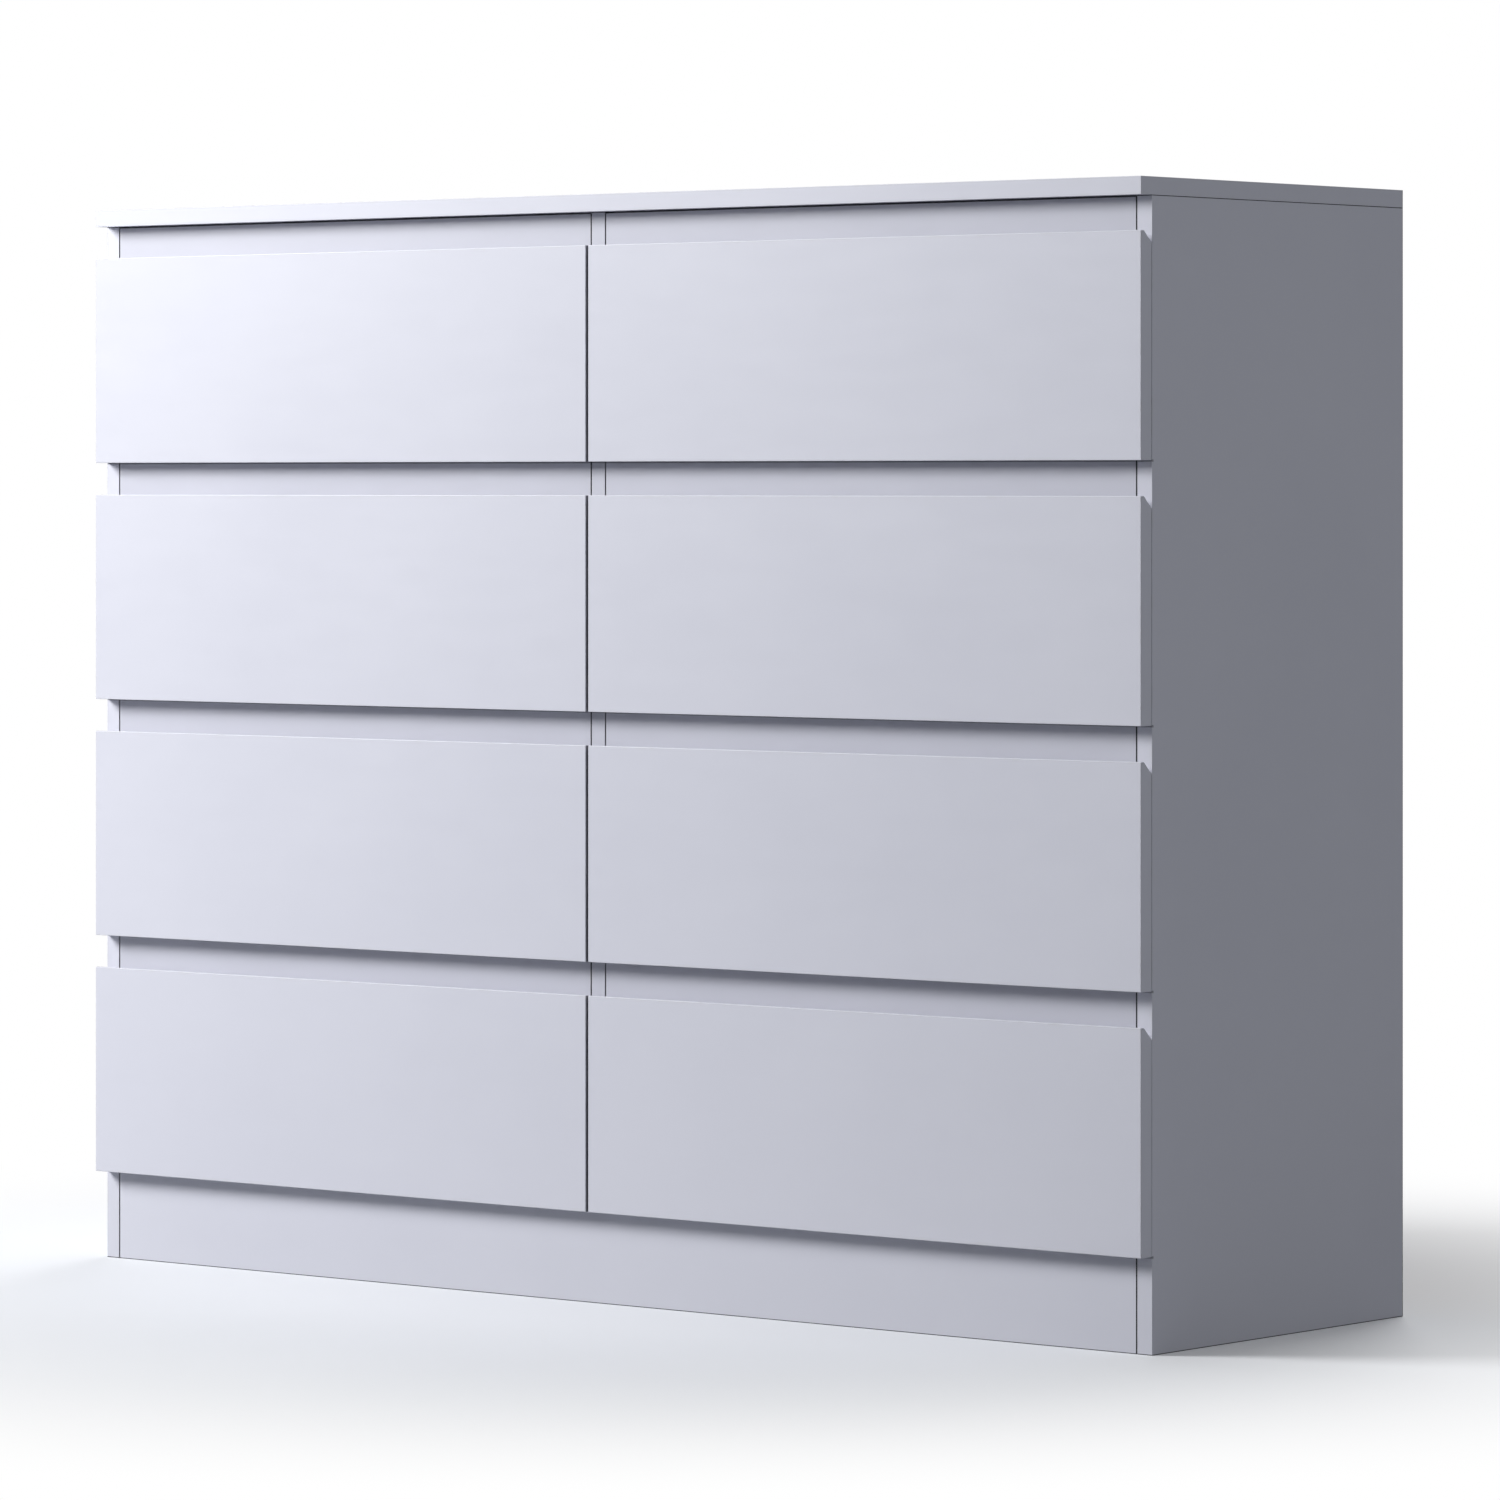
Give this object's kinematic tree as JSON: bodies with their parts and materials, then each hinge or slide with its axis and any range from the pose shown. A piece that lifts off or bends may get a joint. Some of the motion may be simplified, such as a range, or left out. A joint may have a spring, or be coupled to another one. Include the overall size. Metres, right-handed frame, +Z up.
{
  "type": "dresser with drawers",
  "caption": "Wide white dresser with side-by-side columns of handleless overlay drawers, bevelled finger-pull edges over open gaps, flush side panels and a plinth; drawers run on ball slides.",
  "frame": {"origin": "on the floor, under the centre of the whole piece's footprint", "axes": "+Z up, +X along the width towards the right-hand side panel seen from the front, +Y towards the back, so the drawers open along -Y"},
  "size_m": [1.2, 0.38, 0.97],
  "materials": {
    "white_board": "particle board faced and edged in white satin melamine with a fine pearl texture",
    "drawer_board": "particle board wrapped in white foil, satin",
    "white_sheet": "hardboard, painted white on its good face, brown fibre on its rough face",
    "slide_steel": "rolled steel, bright zinc plated",
    "beech_dowel": "fluted beech, raw",
    "zinc_cam": "die-cast zinc, dull",
    "white_plastic": "moulded white plastic, satin, for the cover caps and bumpers",
    "black_plastic": "moulded black plastic, satin, for the release levers"
  },
  "bodies": {
    "carcass": {"top_panel": "white_board", "left_side_panel": "white_board", "right_side_panel": "white_board", "centre_divider": "white_board", "bottom_panel": "white_board", "plinth_board": "white_board", "front_rails": "white_board", "rear_rails": "white_board", "back_panels": "white_sheet", "cabinet_slides": "slide_steel", "dowels": "beech_dowel", "cam_locks": "zinc_cam"},
    "drawer_left_1": {"drawer_left_1_front": "white_board", "drawer_left_1_sides": "drawer_board", "drawer_left_1_back": "drawer_board", "drawer_left_1_bottom": "white_sheet", "drawer_left_1_slides": "slide_steel"},
    "drawer_left_2": {"drawer_left_2_front": "white_board", "drawer_left_2_sides": "drawer_board", "drawer_left_2_back": "drawer_board", "drawer_left_2_bottom": "white_sheet", "drawer_left_2_slides": "slide_steel"},
    "drawer_left_3": {"drawer_left_3_front": "white_board", "drawer_left_3_sides": "drawer_board", "drawer_left_3_back": "drawer_board", "drawer_left_3_bottom": "white_sheet", "drawer_left_3_slides": "slide_steel"},
    "drawer_left_4": {"drawer_left_4_front": "white_board", "drawer_left_4_sides": "drawer_board", "drawer_left_4_back": "drawer_board", "drawer_left_4_bottom": "white_sheet", "drawer_left_4_slides": "slide_steel"},
    "drawer_right_1": {"drawer_right_1_front": "white_board", "drawer_right_1_sides": "drawer_board", "drawer_right_1_back": "drawer_board", "drawer_right_1_bottom": "white_sheet", "drawer_right_1_slides": "slide_steel"},
    "drawer_right_2": {"drawer_right_2_front": "white_board", "drawer_right_2_sides": "drawer_board", "drawer_right_2_back": "drawer_board", "drawer_right_2_bottom": "white_sheet", "drawer_right_2_slides": "slide_steel"},
    "drawer_right_3": {"drawer_right_3_front": "white_board", "drawer_right_3_sides": "drawer_board", "drawer_right_3_back": "drawer_board", "drawer_right_3_bottom": "white_sheet", "drawer_right_3_slides": "slide_steel"},
    "drawer_right_4": {"drawer_right_4_front": "white_board", "drawer_right_4_sides": "drawer_board", "drawer_right_4_back": "drawer_board", "drawer_right_4_bottom": "white_sheet", "drawer_right_4_slides": "slide_steel"},
    "middle_left_1": {"middle_slides_left_1": "slide_steel"},
    "middle_left_2": {"middle_slides_left_2": "slide_steel"},
    "middle_left_3": {"middle_slides_left_3": "slide_steel"},
    "middle_left_4": {"middle_slides_left_4": "slide_steel"},
    "middle_right_1": {"middle_slides_right_1": "slide_steel"},
    "middle_right_2": {"middle_slides_right_2": "slide_steel"},
    "middle_right_3": {"middle_slides_right_3": "slide_steel"},
    "middle_right_4": {"middle_slides_right_4": "slide_steel"}
  },
  "joints": [
    {"name": "open_drawer_left_1", "type": "slide", "parent": "carcass", "child": "drawer_left_1", "axis": [0, -1, 0], "range_m": [0, 0.34]},
    {"name": "open_drawer_left_2", "type": "slide", "parent": "carcass", "child": "drawer_left_2", "axis": [0, -1, 0], "range_m": [0, 0.34]},
    {"name": "open_drawer_left_3", "type": "slide", "parent": "carcass", "child": "drawer_left_3", "axis": [0, -1, 0], "range_m": [0, 0.34]},
    {"name": "open_drawer_left_4", "type": "slide", "parent": "carcass", "child": "drawer_left_4", "axis": [0, -1, 0], "range_m": [0, 0.34]},
    {"name": "open_drawer_right_1", "type": "slide", "parent": "carcass", "child": "drawer_right_1", "axis": [0, -1, 0], "range_m": [0, 0.34]},
    {"name": "open_drawer_right_2", "type": "slide", "parent": "carcass", "child": "drawer_right_2", "axis": [0, -1, 0], "range_m": [0, 0.34]},
    {"name": "open_drawer_right_3", "type": "slide", "parent": "carcass", "child": "drawer_right_3", "axis": [0, -1, 0], "range_m": [0, 0.34]},
    {"name": "open_drawer_right_4", "type": "slide", "parent": "carcass", "child": "drawer_right_4", "axis": [0, -1, 0], "range_m": [0, 0.34]},
    {"name": "extend_slides_left_1", "type": "slide", "parent": "carcass", "child": "middle_left_1", "axis": [0, -1, 0], "range_m": [0, 0.17]},
    {"name": "extend_slides_left_2", "type": "slide", "parent": "carcass", "child": "middle_left_2", "axis": [0, -1, 0], "range_m": [0, 0.17]},
    {"name": "extend_slides_left_3", "type": "slide", "parent": "carcass", "child": "middle_left_3", "axis": [0, -1, 0], "range_m": [0, 0.17]},
    {"name": "extend_slides_left_4", "type": "slide", "parent": "carcass", "child": "middle_left_4", "axis": [0, -1, 0], "range_m": [0, 0.17]},
    {"name": "extend_slides_right_1", "type": "slide", "parent": "carcass", "child": "middle_right_1", "axis": [0, -1, 0], "range_m": [0, 0.17]},
    {"name": "extend_slides_right_2", "type": "slide", "parent": "carcass", "child": "middle_right_2", "axis": [0, -1, 0], "range_m": [0, 0.17]},
    {"name": "extend_slides_right_3", "type": "slide", "parent": "carcass", "child": "middle_right_3", "axis": [0, -1, 0], "range_m": [0, 0.17]},
    {"name": "extend_slides_right_4", "type": "slide", "parent": "carcass", "child": "middle_right_4", "axis": [0, -1, 0], "range_m": [0, 0.17]}
  ],
  "couplings": [
    {"joint": "extend_slides_left_1", "follows": "open_drawer_left_1", "ratio": 0.5},
    {"joint": "extend_slides_left_2", "follows": "open_drawer_left_2", "ratio": 0.5},
    {"joint": "extend_slides_left_3", "follows": "open_drawer_left_3", "ratio": 0.5},
    {"joint": "extend_slides_left_4", "follows": "open_drawer_left_4", "ratio": 0.5},
    {"joint": "extend_slides_right_1", "follows": "open_drawer_right_1", "ratio": 0.5},
    {"joint": "extend_slides_right_2", "follows": "open_drawer_right_2", "ratio": 0.5},
    {"joint": "extend_slides_right_3", "follows": "open_drawer_right_3", "ratio": 0.5},
    {"joint": "extend_slides_right_4", "follows": "open_drawer_right_4", "ratio": 0.5}
  ]
}
